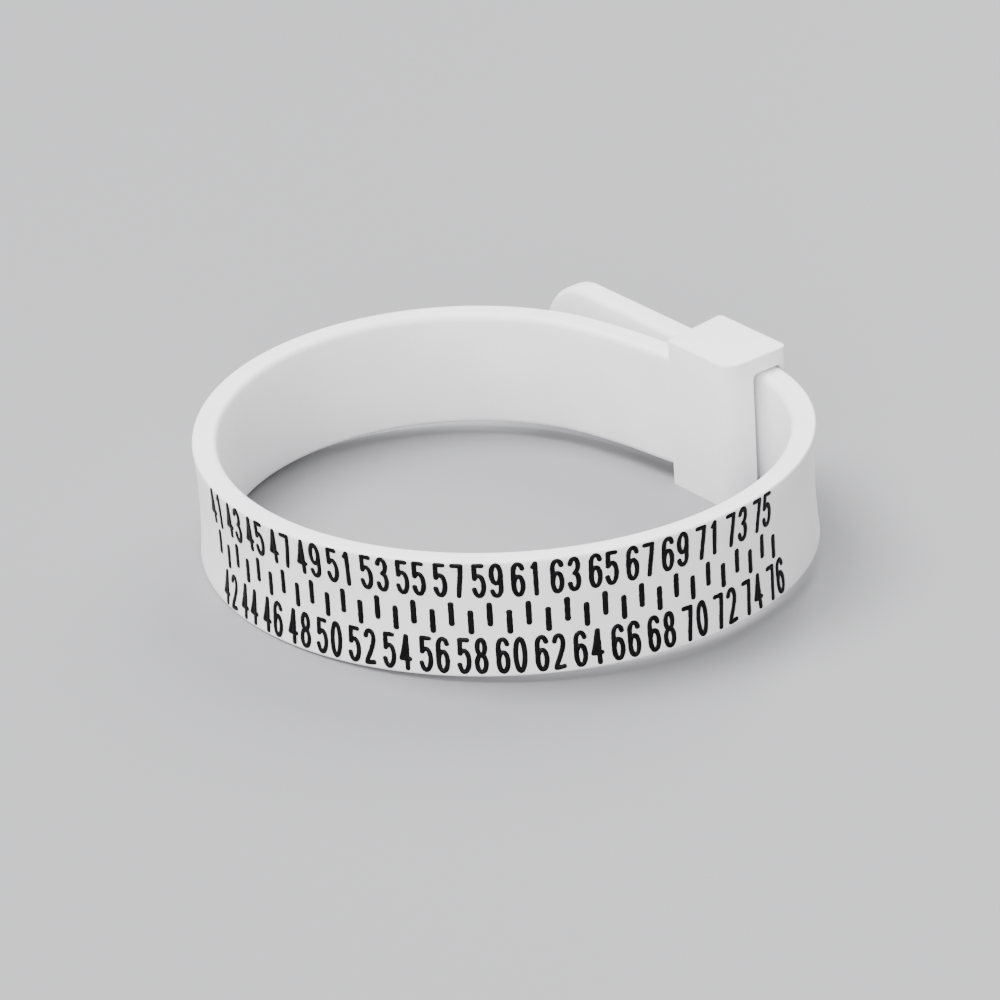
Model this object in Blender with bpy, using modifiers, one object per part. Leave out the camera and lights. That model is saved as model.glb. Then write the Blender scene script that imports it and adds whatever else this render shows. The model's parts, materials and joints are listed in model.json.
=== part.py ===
"""Belt ring sizer: a flexible strap closed into a loop through a buckle block.

Metres, +Z up along the axis of the loop. The strap runs left to right along the front (-Y),
starts at the left end of the buckle block and comes back through the slot in that block.
Arc lengths along the strap's centreline are in the units of its printed scale, one number per
millimetre, so size 59 is at arc length 59 mm.
"""
import math

import bmesh
import bpy
import numpy as np
from mathutils import Matrix, Vector

MM = 0.001

# ---- strap -----------------------------------------------------------------------------------
STRAP_THICK = 1.37
STRAP_WIDTH = 6.94
STRAP_EDGE = 0.18
FIRST_HINGE = 2.0
LINK_PITCH = 4.0
HINGE_COUNT = 25
LINK_GAP = 0.60
ROOT_AT = -2.41
TAIL_END = 109.7
TAIL_CORNER = 3.4

# ---- shape of the loop: its radius of curvature at five places along the strap ---------------
ROOT_RADIUS = 13.85
BACK_AT, BACK_RADIUS = 18.0, 13.2
LEFT_AT, LEFT_RADIUS = 36.0, 16.3
FRONT_AT, FRONT_RADIUS = 60.0, 17.3
MOUTH_AT, MOUTH_RADIUS = 90.0, 10.7

# ---- buckle block, along the slot (length) and across it (outward from the loop) --------------
SLOT_MIDDLE = (14.51, 6.51)
SLOT_HEADING = 127.0
SLOT_HINGE = 0.47
BLOCK_LENGTH = 5.80
BLOCK_OUTER = 1.52
BLOCK_INNER = 2.85
ROOT_INSET = 2.03
ROOT_TURN = 9.0
BLOCK_OVER = 1.10
BLOCK_CORNER = 0.45
SLOT_OUTER = 1.00
SLOT_INNER = 1.22
SLOT_SIDE = 0.35


def hinge_stations():
    """Arc length of each hinge."""
    return FIRST_HINGE + LINK_PITCH * np.arange(HINGE_COUNT)


def block_axes():
    """Unit vectors of the buckle block: along the slot, and outward from the loop."""
    heading = math.radians(SLOT_HEADING)
    along = np.array([math.cos(heading), math.sin(heading)])
    outward = np.array([math.sin(heading), -math.cos(heading)])
    return along, outward


def strap_root():
    """Point and heading where the fixed end of the strap leaves the block."""
    along, outward = block_axes()
    point = np.array(SLOT_MIDDLE) + along * BLOCK_LENGTH / 2 - outward * ROOT_INSET
    return point, math.radians(SLOT_HEADING + ROOT_TURN - 360.0)


def walk(bends):
    """Hinge points and link headings of the chain for the given hinge bends."""
    point, heading = strap_root()
    points = []
    headings = [heading]
    last = ROOT_AT
    for station, bend in zip(hinge_stations(), bends):
        point = point + np.array([math.cos(heading), math.sin(heading)]) * (station - last)
        heading = heading + bend
        last = station
        points.append(point)
        headings.append(heading)
    return np.array(points), np.array(headings)


def radius_at(station):
    """Radius the strap is bent to at an arc length, eased from one named radius to the next."""
    if station > FRONT_AT:
        share = (station - FRONT_AT) / (MOUTH_AT - FRONT_AT)
        curve = (1 - share ** 2) / FRONT_RADIUS + share ** 2 / MOUTH_RADIUS
        return 1 / curve
    places = [FIRST_HINGE, BACK_AT, LEFT_AT, FRONT_AT]
    curves = [1 / ROOT_RADIUS, 1 / BACK_RADIUS, 1 / LEFT_RADIUS, 1 / FRONT_RADIUS]
    i = min(np.searchsorted(places, station, side="right"), len(places) - 1)
    share = (station - places[i - 1]) / (places[i] - places[i - 1])
    eased = (1 - math.cos(math.pi * share)) / 2
    return 1 / ((1 - eased) * curves[i - 1] + eased * curves[i])


def closing_error(bends, bent):
    """How far the chain is from lying along the slot: position (mm) and heading (rad)."""
    along, outward = block_axes()
    points, headings = walk(bends)
    offset = points[bent] - np.array(SLOT_MIDDLE)
    return np.array([offset @ along - SLOT_HINGE, offset @ outward,
                     headings[bent] - math.radians(SLOT_HEADING)])


def rest_bends():
    """Hinge bends at rest: from the named radii, corrected as little as possible to close."""
    loop = [station for station in hinge_stations() if station <= MOUTH_AT]
    bent = len(loop)
    bends = np.zeros(HINGE_COUNT)
    bends[:bent] = [LINK_PITCH / radius_at(station) for station in loop]
    bends[0] -= math.radians(ROOT_TURN)
    for _ in range(6):
        error = closing_error(bends, bent)
        slopes = np.zeros((3, bent))
        for i in range(bent):
            nudged = bends.copy()
            nudged[i] += 1e-6
            slopes[:, i] = (closing_error(nudged, bent) - error) / 1e-6
        bends[:bent] -= np.linalg.pinv(slopes) @ error
    return bends


def clear_scene():
    """Remove every object and every data block left over from before."""
    for obj in list(bpy.data.objects):
        bpy.data.objects.remove(obj, do_unlink=True)
    for group in list(bpy.data.collections):
        bpy.data.collections.remove(group)


def material(name, colour, roughness):
    """A plain Principled BSDF material."""
    mat = bpy.data.materials.new(name)
    mat.use_nodes = True
    shader = mat.node_tree.nodes["Principled BSDF"]
    shader.inputs["Base Color"].default_value = (*colour, 1.0)
    shader.inputs["Roughness"].default_value = roughness
    return mat


def box_object(name, low, high, mat, group, place):
    """A box from corner to corner (mm, local), placed by a matrix in mm."""
    mesh = bpy.data.meshes.new(name)
    shape = bmesh.new()
    size = Vector(high) - Vector(low)
    middle = (Vector(high) + Vector(low)) / 2
    bmesh.ops.create_cube(shape, size=1.0, matrix=Matrix.Translation(middle) @ Matrix.Diagonal((*size, 1.0)))
    bmesh.ops.scale(shape, vec=(MM, MM, MM), verts=shape.verts)
    bmesh.ops.recalc_face_normals(shape, faces=shape.faces)
    shape.to_mesh(mesh)
    shape.free()
    obj = bpy.data.objects.new(name, mesh)
    group.objects.link(obj)
    obj.location = place.to_translation() * MM
    obj.rotation_euler = place.to_euler()
    mesh.materials.append(mat)
    return obj


def round_edges(obj, width, segments=2):
    """Soften every edge of an object."""
    bevel = obj.modifiers.new("soft_edges", "BEVEL")
    bevel.width = width * MM
    bevel.segments = segments
    bevel.limit_method = "ANGLE"
    bevel.angle_limit = math.radians(40)


def round_corners(obj, edges_wanted, radius, segments):
    """Round the chosen edges of a mesh in place."""
    shape = bmesh.new()
    shape.from_mesh(obj.data)
    chosen = [edge for edge in shape.edges if edges_wanted(edge)]
    bmesh.ops.bevel(shape, geom=chosen, offset=radius * MM, segments=segments, profile=0.5,
                    affect="EDGES", clamp_overlap=True)
    shape.to_mesh(obj.data)
    shape.free()


def frame_at(point, heading):
    """Placement matrix (mm) with local X along a heading, at a point on the strap's centreline."""
    return Matrix.Translation((point[0], point[1], 0.0)) @ Matrix.Rotation(heading, 4, "Z")


def build_buckle(group, cutters, mat):
    """The block with the slot through it. Its local X runs along the slot, local -Y is outward."""
    place = frame_at(SLOT_MIDDLE, math.radians(SLOT_HEADING))
    half = BLOCK_LENGTH / 2
    block = box_object("buckle_body", (-half, -BLOCK_OUTER, -BLOCK_OVER),
                       (half, BLOCK_INNER, STRAP_WIDTH + BLOCK_OVER), mat, group, place)

    def mouth_corner(edge):
        ends = [vert.co for vert in edge.verts]
        upright = abs(ends[0].z - ends[1].z) > 5 * MM
        return upright and ends[0].x < 0 < ends[0].y

    round_corners(block, mouth_corner, 1.0, 5)
    slot = box_object("slot_cutter", (-half - 1, -SLOT_OUTER, -SLOT_SIDE),
                      (half + 1, SLOT_INNER, STRAP_WIDTH + SLOT_SIDE), mat, cutters, place)
    slot.hide_render = True
    slot.display_type = "WIRE"
    round_edges(block, BLOCK_CORNER, 3)
    cut = block.modifiers.new("slot", "BOOLEAN")
    cut.operation = "DIFFERENCE"
    cut.solver = "EXACT"
    cut.object = slot
    return block


def build_link(name, start, length, group, mat):
    """A straight length of strap from one hinge to the next, its origin on the first hinge."""
    half = STRAP_THICK / 2
    link = box_object(name, (LINK_GAP / 2, -half, 0.0), (length - LINK_GAP / 2, half, STRAP_WIDTH),
                      mat, group, start)
    round_edges(link, STRAP_EDGE)
    return link


def build_tail(start, length, group, mat):
    """The free end of the strap, with its large rounded corners."""
    half = STRAP_THICK / 2
    tail = box_object("strap_tail", (LINK_GAP / 2, -half, 0.0), (length, half, STRAP_WIDTH),
                      mat, group, start)

    def end_corner(edge):
        ends = [vert.co for vert in edge.verts]
        across = abs(ends[0].y - ends[1].y) > 1 * MM
        return across and ends[0].x > length * MM * 0.9

    round_corners(tail, end_corner, TAIL_CORNER, 10)
    round_edges(tail, STRAP_EDGE)
    return tail


def build_root(group, mat):
    """The fixed end of the strap, from the block to the first hinge, in the block's own body."""
    point, heading = strap_root()
    half = STRAP_THICK / 2
    length = FIRST_HINGE - ROOT_AT
    root = box_object("strap_root", (0.3, -half, 0.0), (length - LINK_GAP / 2, half, STRAP_WIDTH),
                      mat, group, frame_at(point, heading))
    round_edges(root, STRAP_EDGE)
    return root


def standing_point(objects):
    """The point under the middle of all the objects, level with the lowest of them."""
    bpy.context.view_layer.update()
    graph = bpy.context.evaluated_depsgraph_get()
    corners = []
    for obj in objects:
        solid = obj.evaluated_get(graph)
        mesh = solid.to_mesh()
        corners += [obj.matrix_world @ vert.co for vert in mesh.vertices]
        solid.to_mesh_clear()
    points = np.array([tuple(corner) for corner in corners])
    low = points.min(axis=0)
    high = points.max(axis=0)
    return Vector(((low[0] + high[0]) / 2, (low[1] + high[1]) / 2, low[2]))


def main():
    clear_scene()
    scene = bpy.context.scene
    group = bpy.data.collections.new("ring_sizer")
    cutters = bpy.data.collections.new("cutters")
    scene.collection.children.link(group)
    scene.collection.children.link(cutters)
    block_mat = material("buckle_plastic", (0.86, 0.85, 0.87), 0.42)
    strap_mat = material("strap_plastic", (0.90, 0.89, 0.91), 0.36)

    build_buckle(group, cutters, block_mat)
    build_root(group, strap_mat)
    points, headings = walk(rest_bends())
    for i in range(HINGE_COUNT - 1):
        place = frame_at(points[i], headings[i + 1])
        build_link(f"strap_link_{i + 1:02d}", place, LINK_PITCH, group, strap_mat)
    last = HINGE_COUNT - 1
    tail_length = TAIL_END - hinge_stations()[last]
    build_tail(frame_at(points[last], headings[last + 1]), tail_length, group, strap_mat)

    shift = standing_point(list(group.objects))
    for obj in list(group.objects) + list(cutters.objects):
        obj.location -= shift


main()
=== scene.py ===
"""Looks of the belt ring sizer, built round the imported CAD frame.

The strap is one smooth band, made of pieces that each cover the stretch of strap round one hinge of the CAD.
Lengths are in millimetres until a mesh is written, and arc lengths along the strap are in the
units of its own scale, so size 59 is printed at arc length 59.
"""
import json
import math
import random

import bmesh
import bpy
from mathutils import Matrix, Vector
import numpy as np

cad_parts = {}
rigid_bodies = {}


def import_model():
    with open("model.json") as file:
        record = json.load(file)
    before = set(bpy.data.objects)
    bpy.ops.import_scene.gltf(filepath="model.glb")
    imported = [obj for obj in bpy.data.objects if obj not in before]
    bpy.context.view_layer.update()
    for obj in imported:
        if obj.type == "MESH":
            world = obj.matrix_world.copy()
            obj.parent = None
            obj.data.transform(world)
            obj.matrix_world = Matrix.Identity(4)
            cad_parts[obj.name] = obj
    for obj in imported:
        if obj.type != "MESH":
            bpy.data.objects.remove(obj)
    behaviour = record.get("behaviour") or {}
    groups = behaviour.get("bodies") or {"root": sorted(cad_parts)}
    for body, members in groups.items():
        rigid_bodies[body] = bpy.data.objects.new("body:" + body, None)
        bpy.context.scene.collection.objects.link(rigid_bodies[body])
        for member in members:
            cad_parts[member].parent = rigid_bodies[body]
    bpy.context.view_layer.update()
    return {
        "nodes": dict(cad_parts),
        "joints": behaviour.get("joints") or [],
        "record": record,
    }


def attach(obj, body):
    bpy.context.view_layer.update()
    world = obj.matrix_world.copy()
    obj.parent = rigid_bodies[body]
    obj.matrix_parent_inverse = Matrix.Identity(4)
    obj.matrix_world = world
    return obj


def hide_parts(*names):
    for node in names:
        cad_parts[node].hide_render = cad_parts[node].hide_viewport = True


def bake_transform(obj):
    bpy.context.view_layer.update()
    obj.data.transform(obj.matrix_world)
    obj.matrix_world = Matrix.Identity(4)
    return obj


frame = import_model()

MM = 0.001

# ---- strap, as in the CAD ---------------------------------------------------------------------
STRAP_THICK = 1.37
STRAP_WIDTH = 6.94
STRAP_BOTTOM = 1.10
FIRST_HINGE = 2.0
LINK_PITCH = 4.0
LINK_COUNT = 24
ROOT_AT = -2.41
ROOT_TURN = 9.0
TAIL_START = 96.0
TAIL_END = 109.7
SLOT_HEADING = 127.0

# ---- strap, in the looks only: rounded edges, and a wall that cups where it bends -------------
OUTER_EDGE = 0.20
INNER_EDGE = 0.40
LEAST_EDGE_SHARE = 0.06
EDGE_STEPS = 6
SIDE_STEPS = 10
CUPPING = 0.20
FULL_CUPPING_BEND = 16.0
TAIL_CORNER = 3.46
TIP_RINGS = 24
TIP_FACE = 0.004
RING_SPACING = 0.25
STRAP_SHARP = 60.0

# ---- fixed end of the strap: how far it runs into the block, thinning as it goes --------------
ROOT_INTO_BLOCK = 1.4
ROOT_THINS_AFTER = 0.4
ROOT_THINNING = 0.08

# ---- buckle block: along the slot, across it, and outward or inward from the loop -------------
SLOT_BEND = 23
SLOT_HINGE = 0.47
BLOCK_LENGTH = 5.80
BLOCK_OUTER = 1.52
BLOCK_INNER = 2.85
BLOCK_SLANT = 0.50
BLOCK_OVER = 1.10
BLOCK_RIM = 0.32
BLOCK_SHARP = 35.0
ENTRY_INNER_CORNER = 1.0
ENTRY_OUTER_CORNER = 0.45
EXIT_INNER_CORNER = 0.12
EXIT_OUTER_CORNER = 0.30
SLOT_OUTER = 0.98
SLOT_INNER = 1.08
SLOT_SIDE = 0.12
SLOT_CORNER = 0.30
SLOT_MOUTH = 0.14
CUTTER_EXTRA = 1.0
LONG_EDGE = 5.0
SAME_PLACE = 0.1
ROUNDED_ANGLE = 60.0

# ---- printed scale ----------------------------------------------------------------------------
FIRST_SIZE = 41
LAST_SIZE = 76
SCALE_SEED = 59
DIGIT_HALF_WIDTH = 0.235
DIGIT_HALF_HEIGHT = 0.95
DIGIT_SPACING = 0.88
DIGIT_STEP = 0.12
STROKE_RADIUS = 0.142
STROKE_UNEVENNESS = 0.07
STROKE_SIDES = 10
STROKE_END = [(-0.92, 0.35), (-0.72, 0.7), (-0.38, 0.92), (0.0, 1.0)]
INK_HEIGHT = 0.07
UPPER_NUMBER_Z = 5.80
LOWER_NUMBER_Z = 1.28
UPPER_TICK_Z = 3.74
LOWER_TICK_Z = 3.27
TICK_HALF_LENGTH = 0.58
TICK_RADIUS = 0.165
TICK_STEP = 0.15

# ---- camera, in millimetres and degrees -------------------------------------------------------
CAMERA_DISTANCE = 332.8
CAMERA_ELEVATION = 26.99
CAMERA_ROLL = -3.57
CAMERA_AIM = (-0.401, -0.701, 2.723)
CAMERA_LENS = 214.9
CAMERA_SENSOR = 36.0

# ---- stage, in metres and watts ---------------------------------------------------------------
FLOOR_HALF_SIZE = 3.0
FLOOR_GAP = 0.00002
FLOOR_FOOT_INSET = 0.5 * MM
FLOOR_REACH = 31.0 * MM
LIGHT_AIM = (0.0, 0.0, 0.004)
LIGHTS = [
    ("key", (-0.22, 0.05, 0.50), 0.32, 7.0),
    ("fill", (-0.10, -0.50, 0.22), 0.40, 4.2),
    ("back", (0.25, 0.42, 0.38), 0.40, 4.2),
]
SURROUND_COLOUR = (0.92, 0.93, 0.95, 1.0)
SURROUND_STRENGTH = 0.69


# ---- centreline of the strap ------------------------------------------------------------------
def link_line(number):
    """Middle of a straight CAD link, and the line along which it runs."""
    points = np.array([vert.co.xy for vert in frame["nodes"][f"strap_link_{number:02d}"].data.vertices])
    middle = (points.max(axis=0) + points.min(axis=0)) / 2
    run = np.linalg.svd(points - middle)[2][0]
    return Vector(middle) / MM, Vector(run)


def bend_points():
    """Points where the straight CAD links meet, in order along the strap."""
    lines = [link_line(number) for number in range(1, LINK_COUNT + 1)]
    middles = [middle for middle, run in lines]
    steps = [after - before for before, after in zip(middles, middles[1:])]
    steps.append(steps[-1])
    halves = [run * math.copysign(LINK_PITCH / 2, run.dot(step)) for (middle, run), step in zip(lines, steps)]
    starts = [middle - half for middle, half in zip(middles, halves)]
    return starts + [middles[-1] + halves[-1]]


HINGES = bend_points()
SLOT_DIRECTION = Vector((math.cos(math.radians(SLOT_HEADING)), math.sin(math.radians(SLOT_HEADING))))
ROOT_DIRECTION = Matrix.Rotation(math.radians(ROOT_TURN), 2) @ SLOT_DIRECTION


def station(index):
    """Arc length of a bend, counting bends from nought."""
    return FIRST_HINGE + LINK_PITCH * index


def link_middle(index):
    """Middle of the link before a bend; the two ends of the chain are straight."""
    if index == 0:
        return HINGES[0] - ROOT_DIRECTION * LINK_PITCH / 2
    if index == len(HINGES):
        return HINGES[-1] + SLOT_DIRECTION * LINK_PITCH / 2
    return (HINGES[index - 1] + HINGES[index]) / 2


def centre(arc):
    """Point and direction of the strap's centreline at an arc length."""
    index = math.floor((arc - FIRST_HINGE + LINK_PITCH / 2) / LINK_PITCH)
    if index < 0:
        return link_middle(0) + ROOT_DIRECTION * (arc - FIRST_HINGE + LINK_PITCH / 2), ROOT_DIRECTION
    if index >= len(HINGES):
        start = station(len(HINGES) - 1) + LINK_PITCH / 2
        return link_middle(len(HINGES)) + SLOT_DIRECTION * (arc - start), SLOT_DIRECTION
    t = (arc - station(index)) / LINK_PITCH + 0.5
    before, corner, after = link_middle(index), HINGES[index], link_middle(index + 1)
    point = before * (1 - t) ** 2 + corner * 2 * t * (1 - t) + after * t * t
    direction = (corner - before) * (1 - t) + (after - corner) * t
    return point, direction.normalized()


def bend_at(arc):
    """Bend of the strap, in degrees, over one link's length round an arc length."""
    ahead = centre(arc + LINK_PITCH / 2)[1]
    behind = centre(arc - LINK_PITCH / 2)[1]
    return math.degrees(abs(behind.angle_signed(ahead)))


def on_strap(arc, height, outward):
    """Point, in metres, at an arc length, a height up the strap, and a distance off its middle."""
    point, direction = centre(arc)
    side = Vector((direction.y, -direction.x))
    lean = 2 * height / STRAP_WIDTH - 1
    cup = CUPPING * min(1.0, bend_at(arc) / FULL_CUPPING_BEND) * lean * lean
    place = point + side * (outward + cup)
    return Vector((place.x, place.y, STRAP_BOTTOM + height)) * MM


# ---- mesh helpers -----------------------------------------------------------------------------
def new_piece(name, shape, mat, sharp):
    """A smooth-shaded object from a bmesh, with edges sharp above an angle in degrees."""
    bmesh.ops.recalc_face_normals(shape, faces=shape.faces)
    mesh = bpy.data.meshes.new(name)
    shape.to_mesh(mesh)
    shape.free()
    mesh.shade_smooth()
    mesh.set_sharp_from_angle(angle=math.radians(sharp))
    mesh.materials.append(mat)
    obj = bpy.data.objects.new(name, mesh)
    bpy.context.scene.collection.objects.link(obj)
    return obj


def loft(shape, rings, first_cap=True, last_cap=True):
    """Skin a row of closed rings of points and cap the ends."""
    rows = [[shape.verts.new(point) for point in ring] for ring in rings]
    count = len(rows[0])
    for low, high in zip(rows, rows[1:]):
        for i in range(count):
            j = (i + 1) % count
            shape.faces.new((low[i], low[j], high[j], high[i]))
    if first_cap:
        shape.faces.new(rows[0])
    if last_cap:
        shape.faces.new(list(reversed(rows[-1])))


def strap_section(half_thick, low, high, outer, inner):
    """Outline of the strap across its run, as (outward, height) pairs."""
    corners = [
        (half_thick - outer, low + outer, outer, -90),
        (half_thick - outer, high - outer, outer, 0),
        (inner - half_thick, high - inner, inner, 90),
        (inner - half_thick, low + inner, inner, 180),
    ]
    outline = []
    for number, (across, up, radius, start) in enumerate(corners):
        for step in range(EDGE_STEPS + 1):
            turn = math.radians(start + 90 * step / EDGE_STEPS)
            outline.append((across + radius * math.cos(turn), up + radius * math.sin(turn)))
        if number % 2 == 0:
            side = half_thick if number == 0 else -half_thick
            climb = corners[number + 1][1] - up
            outline += [(side, up + climb * step / SIDE_STEPS) for step in range(1, SIDE_STEPS)]
    return outline


def strap_ring(arc):
    """Points round the strap at an arc length: thinner inside the block, rounded at the tail."""
    half_thick = STRAP_THICK / 2 - ROOT_THINNING * max(0.0, ROOT_AT - ROOT_THINS_AFTER - arc)
    from_tip = max(0.0, TAIL_END - arc)
    inset = 0.0
    if from_tip < TAIL_CORNER:
        inset = TAIL_CORNER - math.sqrt(TAIL_CORNER ** 2 - (TAIL_CORNER - from_tip) ** 2)
    share = min(1.0, max(LEAST_EDGE_SHARE, (STRAP_WIDTH / 2 - inset) / INNER_EDGE))
    outline = strap_section(half_thick, inset, STRAP_WIDTH - inset, OUTER_EDGE * share, INNER_EDGE * share)
    return [on_strap(arc, height, outward) for outward, height in outline]


def ring_places(start, stop):
    """Evenly spaced arc lengths from start up to, but not including, stop."""
    count = round((stop - start) / RING_SPACING)
    return [start + (stop - start) * i / count for i in range(count)]


def tip_places():
    """Arc lengths of the rings that round the tail's tip, closer together towards its end."""
    turns = [math.radians(90 * step / TIP_RINGS) for step in range(TIP_RINGS)]
    return [TAIL_END - TAIL_CORNER * (1 - math.sin(turn)) for turn in turns] + [TAIL_END - TIP_FACE]


# ---- hinges of the CAD ------------------------------------------------------------------------
def joint_number(joint):
    """Number of the link that a joint moves first; it ends the joint's name."""
    return int(joint["name"][-2:])


def strap_spans():
    """For each moving hinge: its two bodies, and the stretch of strap that bends across it."""
    joints = sorted(frame["joints"], key=joint_number)
    places = [station(joint_number(joint) - 1) for joint in joints]
    borders = [(a + b) / 2 for a, b in zip(places, places[1:])]
    starts = [ROOT_AT] + borders
    stops = borders + [TAIL_START]
    return [(joint["parent"], joint["child"], start, stop)
            for joint, start, stop in zip(joints, starts, stops)]


def across_hinge(obj):
    """Bake a piece's placement into its mesh."""
    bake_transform(obj)


# ---- glyphs of the scale, drawn as strokes in a box from -1 to 1 ------------------------------
def arc_points(middle, radii, start, stop, steps=10):
    """Points along part of an ellipse, angles in degrees anticlockwise from +X."""
    turns = [math.radians(start + (stop - start) * i / steps) for i in range(steps + 1)]
    return [(middle[0] + radii[0] * math.cos(t), middle[1] + radii[1] * math.sin(t)) for t in turns]


def turned(strokes):
    """Strokes turned half way round, which makes a 9 from a 6."""
    return [[(-x, -y) for x, y in stroke] for stroke in strokes]


SIX = [
    arc_points((0.0, 0.52), (1.0, 0.48), 20, 180, 10)
    + [(-1.0, 0.2), (-1.0, -0.1)]
    + arc_points((0.0, -0.4), (1.0, 0.6), 180, 360, 12),
    arc_points((0.0, -0.4), (1.0, 0.6), 0, 165, 12),
]
GLYPHS = {
    "0": [arc_points((0.0, 0.0), (1.0, 1.0), 90, 450, 26)],
    "1": [[(0.12, -1.0), (0.08, 0.0), (0.05, 0.97)], [(0.05, 0.97), (-0.2, 0.84), (-0.5, 0.74)]],
    "2": [
        arc_points((0.0, 0.52), (0.95, 0.48), 165, -10, 12)
        + [(0.75, 0.15), (0.1, -0.35), (-0.55, -0.75), (-0.75, -0.98)],
        [(-0.75, -0.98), (0.1, -0.97), (0.95, -0.93)],
    ],
    "3": [
        arc_points((-0.02, 0.54), (0.88, 0.46), 165, -60, 13) + [(0.1, 0.05)],
        [(0.1, 0.05)] + arc_points((-0.02, -0.46), (0.98, 0.54), 62, -165, 14),
    ],
    "4": [
        [(0.2, 0.97), (-0.35, 0.2), (-0.95, -0.42)],
        [(-0.95, -0.42), (0.1, -0.45), (0.95, -0.42)],
        [(0.2, 0.97), (0.32, 0.0), (0.42, -1.0)],
    ],
    "5": [
        [(0.72, 0.96), (0.0, 0.97), (-0.9, 0.97)],
        [(-0.9, 0.97), (-0.92, 0.6), (-0.93, 0.12)],
        [(-0.93, 0.12), (-0.6, 0.24)] + arc_points((-0.1, -0.34), (1.08, 0.66), 95, -160, 16),
    ],
    "6": SIX,
    "7": [
        [(-0.95, 0.95), (0.0, 0.95), (0.88, 0.95)],
        [(0.88, 0.95), (0.72, 0.3), (0.4, -0.4), (0.18, -1.0)],
    ],
    "8": [
        arc_points((0.0, 0.52), (0.84, 0.48), 90, 450, 20),
        arc_points((0.0, -0.48), (1.0, 0.52), 90, 450, 20),
    ],
    "9": turned(SIX),
}


def stroke_ring(middle, run, width, scale):
    """Points round a stroke: wide across its run, and raised off the strap by the ink's height."""
    ring = []
    for side in range(STROKE_SIDES):
        turn = 2 * math.pi * side / STROKE_SIDES
        off = width * scale * math.cos(turn)
        lift = STRAP_THICK / 2 + INK_HEIGHT * scale * math.sin(turn)
        ring.append(on_strap(middle[0] - run.y * off, middle[1] + run.x * off, lift))
    return ring


def stroke_body(shape, path, radius, rng):
    """A raised rounded stroke along (arc, height) points on the outer face of the strap."""
    closed = math.dist(path[0], path[-1]) < 1e-6
    rings = []
    last = len(path) - 1
    for i, point in enumerate(path):
        before = path[i - 1] if i > 0 else (path[last - 1] if closed else point)
        after = path[i + 1] if i < last else (path[1] if closed else point)
        run = Vector((after[0] - before[0], after[1] - before[1])).normalized()
        width = radius * (1 + rng.uniform(-STROKE_UNEVENNESS, STROKE_UNEVENNESS))
        caps = [(0.0, 1.0)]
        if not closed and i == 0:
            caps = STROKE_END
        if not closed and i == last:
            caps = [(-shift, scale) for shift, scale in reversed(STROKE_END)]
        for shift, scale in caps:
            middle = (point[0] + run.x * shift * radius, point[1] + run.y * shift * radius)
            rings.append(stroke_ring(middle, run, width, scale))
    loft(shape, rings)


def dense(path, spacing):
    """The same path with points no further apart than a spacing."""
    points = [path[0]]
    for a, b in zip(path, path[1:]):
        parts = max(1, round(math.dist(a, b) / spacing))
        points += [(a[0] + (b[0] - a[0]) * i / parts, a[1] + (b[1] - a[1]) * i / parts)
                   for i in range(1, parts + 1)]
    return points


def add_digit(shape, digit, arc, height, rng):
    """One digit of the scale."""
    for stroke in GLYPHS[digit]:
        path = [(arc + x * DIGIT_HALF_WIDTH, height + y * DIGIT_HALF_HEIGHT) for x, y in stroke]
        stroke_body(shape, dense(path, DIGIT_STEP), STROKE_RADIUS, rng)


def add_tick(shape, arc, height, rng):
    """One short mark of the scale."""
    path = [(arc, height - TICK_HALF_LENGTH), (arc, height + TICK_HALF_LENGTH)]
    stroke_body(shape, dense(path, TICK_STEP), TICK_RADIUS, rng)


# ---- materials --------------------------------------------------------------------------------
def new_material(name):
    """A material with its nodes, links, shader and object coordinates."""
    mat = bpy.data.materials.new(name)
    mat.use_nodes = True
    nodes, links = mat.node_tree.nodes, mat.node_tree.links
    coords = nodes.new("ShaderNodeTexCoord").outputs["Object"]
    return mat, nodes, links, nodes["Principled BSDF"], coords


def noise(nodes, links, coords, scale, detail, name):
    """A noise texture on object coordinates."""
    texture = nodes.new("ShaderNodeTexNoise")
    texture.name = name
    texture.inputs["Scale"].default_value = scale
    texture.inputs["Detail"].default_value = detail
    links.new(coords, texture.inputs["Vector"])
    return texture.outputs["Fac"]


def colour_from(nodes, links, shader, value, stops):
    """Colour the shader by a ramp over a value, from (position, colour) stops."""
    node = nodes.new("ShaderNodeValToRGB")
    for element, (position, colour) in zip(node.color_ramp.elements, stops):
        element.position = position
        element.color = (*colour, 1.0)
    links.new(value, node.inputs["Fac"])
    links.new(node.outputs["Color"], shader.inputs["Base Color"])


def roughness_from(nodes, links, shader, value, low, high):
    """Vary the shader's roughness between two limits."""
    spread = nodes.new("ShaderNodeMapRange")
    spread.inputs["To Min"].default_value = low
    spread.inputs["To Max"].default_value = high
    links.new(value, spread.inputs["Value"])
    links.new(spread.outputs["Result"], shader.inputs["Roughness"])


def bump_from(nodes, links, shader, height, strength, distance):
    """Bump the shader's surface; the distance is in millimetres."""
    bump = nodes.new("ShaderNodeBump")
    bump.inputs["Strength"].default_value = strength
    bump.inputs["Distance"].default_value = distance * MM
    links.new(height, bump.inputs["Height"])
    links.new(bump.outputs["Normal"], shader.inputs["Normal"])


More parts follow.
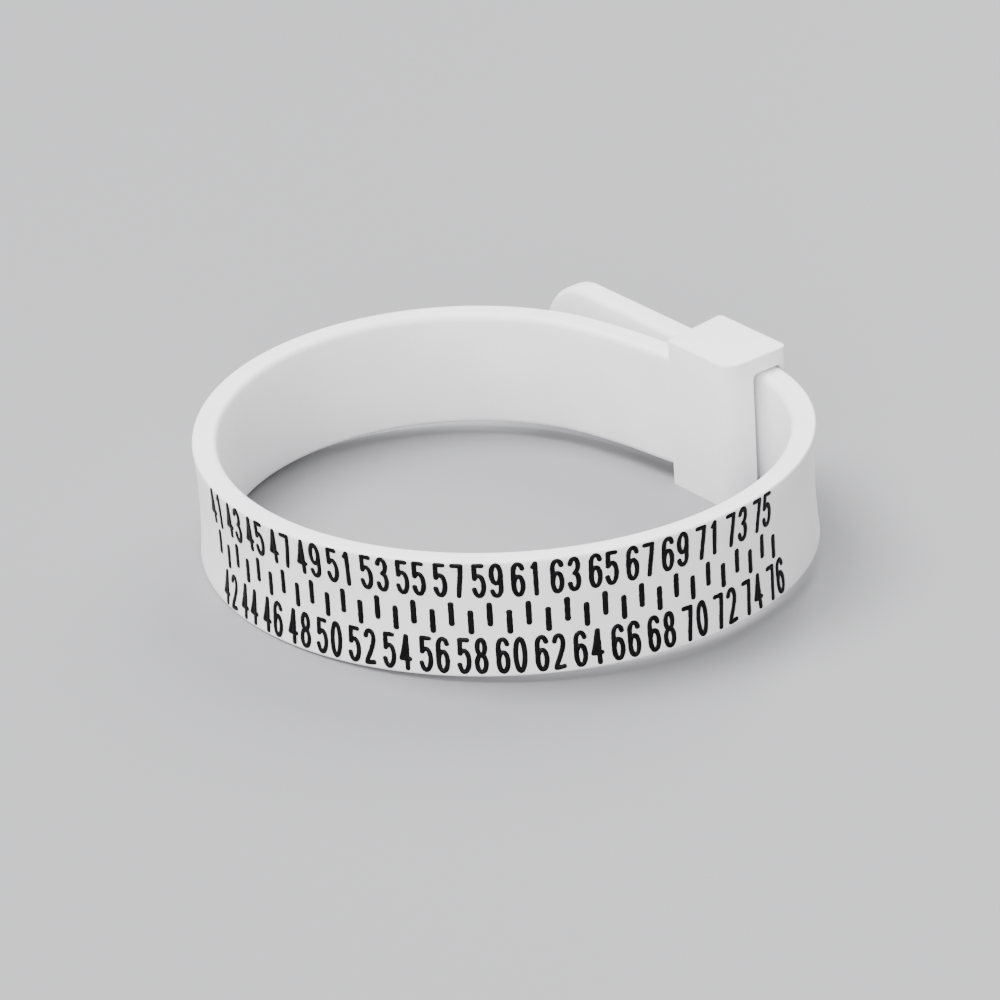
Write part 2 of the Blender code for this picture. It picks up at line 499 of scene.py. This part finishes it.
def moulded_plastic(name, dark, light, roughness):
    """Near-white satin moulded plastic: faint mottling, fine grain and shallow ripples."""
    mat, nodes, links, shader, coords = new_material(name)
    mottle = noise(nodes, links, coords, 260.0, 3.0, "mottle")
    colour_from(nodes, links, shader, mottle, [(0.3, dark), (0.7, light)])
    gloss = noise(nodes, links, coords, 900.0, 4.0, "gloss")
    roughness_from(nodes, links, shader, gloss, roughness - 0.06, roughness + 0.08)
    grain = noise(nodes, links, coords, 3200.0, 5.0, "grain")
    ripple = noise(nodes, links, coords, 420.0, 2.0, "ripple")
    total = nodes.new("ShaderNodeMath")
    total.operation = "MULTIPLY_ADD"
    total.inputs[1].default_value = 2.5
    links.new(ripple, total.inputs[0])
    links.new(grain, total.inputs[2])
    bump_from(nodes, links, shader, total.outputs["Value"], 0.25, 0.04)
    shader.inputs["IOR"].default_value = 1.49
    return mat


def black_ink(name):
    """Thick black ink with a slightly uneven skin."""
    mat, nodes, links, shader, coords = new_material(name)
    tone = noise(nodes, links, coords, 1500.0, 3.0, "tone")
    colour_from(nodes, links, shader, tone, [(0.35, (0.001, 0.001, 0.0015)), (0.75, (0.005, 0.004, 0.0045))])
    gloss = noise(nodes, links, coords, 2600.0, 4.0, "gloss")
    roughness_from(nodes, links, shader, gloss, 0.18, 0.42)
    skin = noise(nodes, links, coords, 5200.0, 4.0, "skin")
    bump_from(nodes, links, shader, skin, 0.4, 0.03)
    shader.inputs["Specular IOR Level"].default_value = 0.1
    return mat


# ---- pieces -----------------------------------------------------------------------------------
def build_strap(mat):
    """The strap, one piece for each moving hinge, with the shading normals of an unbroken band."""
    spans = strap_spans()
    places = [ROOT_AT - ROOT_INTO_BLOCK]
    breaks = [0]
    for parent, child, start, stop in spans:
        places += ring_places(start, stop)
        breaks.append(len(places))
    places += ring_places(TAIL_START, TAIL_END - TAIL_CORNER) + tip_places()
    breaks[-1] = len(places) - 1
    rings = [strap_ring(place) for place in places]
    whole = bmesh.new()
    loft(whole, rings)
    bmesh.ops.recalc_face_normals(whole, faces=whole.faces)
    whole.normal_update()
    normals = [vert.normal.copy() for vert in whole.verts]
    whole.free()
    sides = len(rings[0])
    for number, span in enumerate(spans):
        first, last = breaks[number], breaks[number + 1]
        shape = bmesh.new()
        loft(shape, rings[first:last + 1], first == 0, last == len(rings) - 1)
        piece = new_piece(f"strap_piece_{number + 1:02d}", shape, mat, STRAP_SHARP)
        piece.data.normals_split_custom_set_from_vertices(normals[first * sides:(last + 1) * sides])
        across_hinge(piece)
        members = frame["record"]["behaviour"]["bodies"][span[1]]
        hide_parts(*members, *(["strap_root"] if number == 0 else []))


def build_scale(mat):
    """Numbers and marks, grouped by the hinge that bends the strap under them."""
    rng = random.Random(SCALE_SEED)
    for number, span in enumerate(strap_spans()):
        low, high = span[2], span[3]
        numbers = bmesh.new()
        ticks = bmesh.new()
        for size in range(FIRST_SIZE, LAST_SIZE + 1):
            upper = size % 2 == 1
            if low <= size < high:
                add_tick(ticks, size, UPPER_TICK_Z if upper else LOWER_TICK_Z, rng)
            for digit, side in zip(str(size), (-0.5, 0.5)):
                arc = size + side * DIGIT_SPACING
                if low <= arc < high:
                    add_digit(numbers, digit, arc, UPPER_NUMBER_Z if upper else LOWER_NUMBER_Z, rng)
        for kind, shape in (("size_numbers", numbers), ("size_marks", ticks)):
            if shape.verts:
                piece = new_piece(f"{kind}_{number + 1:02d}", shape, mat, STRAP_SHARP)
                across_hinge(piece)
            else:
                shape.free()


def block_matrix():
    """Placement (mm) of the buckle block: X along the slot, -Y outward, from the slot's middle."""
    middle = HINGES[SLOT_BEND] - SLOT_DIRECTION * SLOT_HINGE
    turn = Matrix.Rotation(math.radians(SLOT_HEADING), 4, "Z")
    return Matrix.Translation((middle.x, middle.y, STRAP_BOTTOM)) @ turn


def box_shape(low, high):
    """A bmesh box from corner to corner."""
    shape = bmesh.new()
    size = Vector(high) - Vector(low)
    middle = (Vector(high) + Vector(low)) / 2
    bmesh.ops.create_cube(shape, size=1.0, matrix=Matrix.Translation(middle) @ Matrix.Diagonal((*size, 1.0)))
    return shape


def bevel_where(shape, wanted, radius, segments):
    """Round the edges that a test picks."""
    chosen = [edge for edge in shape.edges if wanted(edge)]
    bmesh.ops.bevel(shape, geom=chosen, offset=radius, segments=segments, profile=0.5,
                    affect="EDGES", clamp_overlap=True)


def upright_at(edge, x, y):
    """Whether an edge stands upright at a place."""
    middle = (edge.verts[0].co + edge.verts[1].co) / 2
    upright = abs(edge.verts[0].co.z - edge.verts[1].co.z) > LONG_EDGE
    return upright and abs(middle.x - x) < SAME_PLACE and abs(middle.y - y) < SAME_PLACE


def runs_along_slot(edge):
    """Whether an edge runs the length of the slot."""
    return abs(edge.verts[0].co.x - edge.verts[1].co.x) > LONG_EDGE


def block_shape():
    """The block without its slot; the loop enters at -X, and the end at +X slants."""
    half = BLOCK_LENGTH / 2
    shape = box_shape((-half, -BLOCK_OUTER, -BLOCK_OVER), (half, BLOCK_INNER, STRAP_WIDTH + BLOCK_OVER))
    for vert in shape.verts:
        if vert.co.x > 0 and vert.co.y > 0:
            vert.co.x -= BLOCK_SLANT
    corners = [
        (-half, BLOCK_INNER, ENTRY_INNER_CORNER, 10),
        (half - BLOCK_SLANT, BLOCK_INNER, EXIT_INNER_CORNER, 3),
        (-half, -BLOCK_OUTER, ENTRY_OUTER_CORNER, 5),
        (half, -BLOCK_OUTER, EXIT_OUTER_CORNER, 5),
    ]
    for x, y, radius, segments in corners:
        bevel_where(shape, lambda edge: upright_at(edge, x, y), radius, segments)
    return shape


def slot_shape():
    """The slot's hollow, longer than the block."""
    end = BLOCK_LENGTH / 2 + CUTTER_EXTRA
    shape = box_shape((-end, -SLOT_OUTER, -SLOT_SIDE), (end, SLOT_INNER, STRAP_WIDTH + SLOT_SIDE))
    bevel_where(shape, runs_along_slot, SLOT_CORNER, 4)
    return shape


def bevel_modifier(piece, name, width, segments):
    """Round every edge that turns by more than the angle set above."""
    bevel = piece.modifiers.new(name, "BEVEL")
    bevel.width = width
    bevel.segments = segments
    bevel.limit_method = "ANGLE"
    bevel.angle_limit = math.radians(ROUNDED_ANGLE)


def build_buckle(mat):
    """The moulded block with its slot, softer where the strap enters than at the other end."""
    piece = new_piece("buckle_block", block_shape(), mat, BLOCK_SHARP)
    cutter = new_piece("slot_cutter", slot_shape(), mat, BLOCK_SHARP)
    bevel_modifier(piece, "rim", BLOCK_RIM, 5)
    cut = piece.modifiers.new("slot", "BOOLEAN")
    cut.operation = "DIFFERENCE"
    cut.solver = "EXACT"
    cut.object = cutter
    bevel_modifier(piece, "mouth", SLOT_MOUTH, 3)
    graph = bpy.context.evaluated_depsgraph_get()
    finished = bpy.data.meshes.new_from_object(piece.evaluated_get(graph))
    piece.modifiers.clear()
    piece.data = finished
    bpy.data.objects.remove(cutter)
    finished.transform(Matrix.Scale(MM, 4) @ block_matrix())
    finished.shade_smooth()
    finished.set_sharp_from_angle(angle=math.radians(BLOCK_SHARP))
    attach(piece, "buckle")
    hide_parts("buckle_body")


# ---- stage ------------------------------------------------------------------------------------
def floor_placement():
    """Tips the floor so that the block's underside and the far edge of the strap stand on it."""
    block = block_matrix().to_translation() * MM
    away = Vector((-block.x, -block.y)).normalized()
    foot = Vector((block.x, block.y)) - away * FLOOR_FOOT_INSET
    rise = math.atan2(STRAP_BOTTOM * MM, FLOOR_REACH)
    tip = Matrix.Rotation(rise, 4, Vector((away.y, -away.x, 0.0)))
    return Matrix.Translation((foot.x, foot.y, 0.0)) @ tip @ Matrix.Translation((0.0, 0.0, -FLOOR_GAP))


def build_floor():
    """A pale floor, tipped slightly."""
    mesh = bpy.data.meshes.new("floor")
    shape = bmesh.new()
    bmesh.ops.create_grid(shape, x_segments=1, y_segments=1, size=FLOOR_HALF_SIZE)
    shape.to_mesh(mesh)
    shape.free()
    floor = bpy.data.objects.new("floor", mesh)
    bpy.context.scene.collection.objects.link(floor)
    floor.matrix_world = floor_placement()
    mat = bpy.data.materials.new("pale_floor")
    mat.use_nodes = True
    shader = mat.node_tree.nodes["Principled BSDF"]
    shader.inputs["Base Color"].default_value = (0.26, 0.26, 0.27, 1.0)
    shader.inputs["Roughness"].default_value = 0.55
    mesh.materials.append(mat)


def add_light(name, place, size, power):
    """A soft square light aimed at the loop."""
    data = bpy.data.lights.new(name, "AREA")
    data.shape = "SQUARE"
    data.size = size
    data.energy = power
    light = bpy.data.objects.new(name, data)
    light.location = place
    aim = Vector(LIGHT_AIM) - Vector(place)
    light.rotation_euler = aim.to_track_quat("-Z", "Y").to_euler()
    bpy.context.scene.collection.objects.link(light)


def build_stage():
    """Floor, lights and a soft grey-white surround."""
    build_floor()
    for name, place, size, power in LIGHTS:
        add_light(name, place, size, power)
    world = bpy.data.worlds.new("studio")
    world.use_nodes = True
    background = world.node_tree.nodes["Background"]
    background.inputs["Color"].default_value = SURROUND_COLOUR
    background.inputs["Strength"].default_value = SURROUND_STRENGTH
    bpy.context.scene.world = world


def build_camera():
    """The camera, with a long lens, aimed down at the loop."""
    tilt = math.radians(CAMERA_ELEVATION)
    forward = Vector((0.0, math.cos(tilt), -math.sin(tilt)))
    data = bpy.data.cameras.new("camera")
    data.sensor_width = CAMERA_SENSOR
    data.lens = CAMERA_LENS
    data.clip_start = 0.01
    camera = bpy.data.objects.new("camera", data)
    camera.location = (Vector(CAMERA_AIM) - forward * CAMERA_DISTANCE) * MM
    level = forward.to_track_quat("-Z", "Y")
    roll = Matrix.Rotation(math.radians(-CAMERA_ROLL), 3, forward)
    camera.rotation_euler = (roll @ level.to_matrix()).to_euler()
    bpy.context.scene.collection.objects.link(camera)
    bpy.context.scene.camera = camera


def main():
    """Build every piece, then the stage."""
    strap_mat = moulded_plastic("strap_satin", (0.86, 0.845, 0.86), (0.92, 0.91, 0.925), 0.40)
    block_mat = moulded_plastic("buckle_satin", (0.85, 0.84, 0.86), (0.91, 0.90, 0.92), 0.44)
    build_strap(strap_mat)
    build_scale(black_ink("scale_ink"))
    build_buckle(block_mat)
    build_stage()
    build_camera()


main()
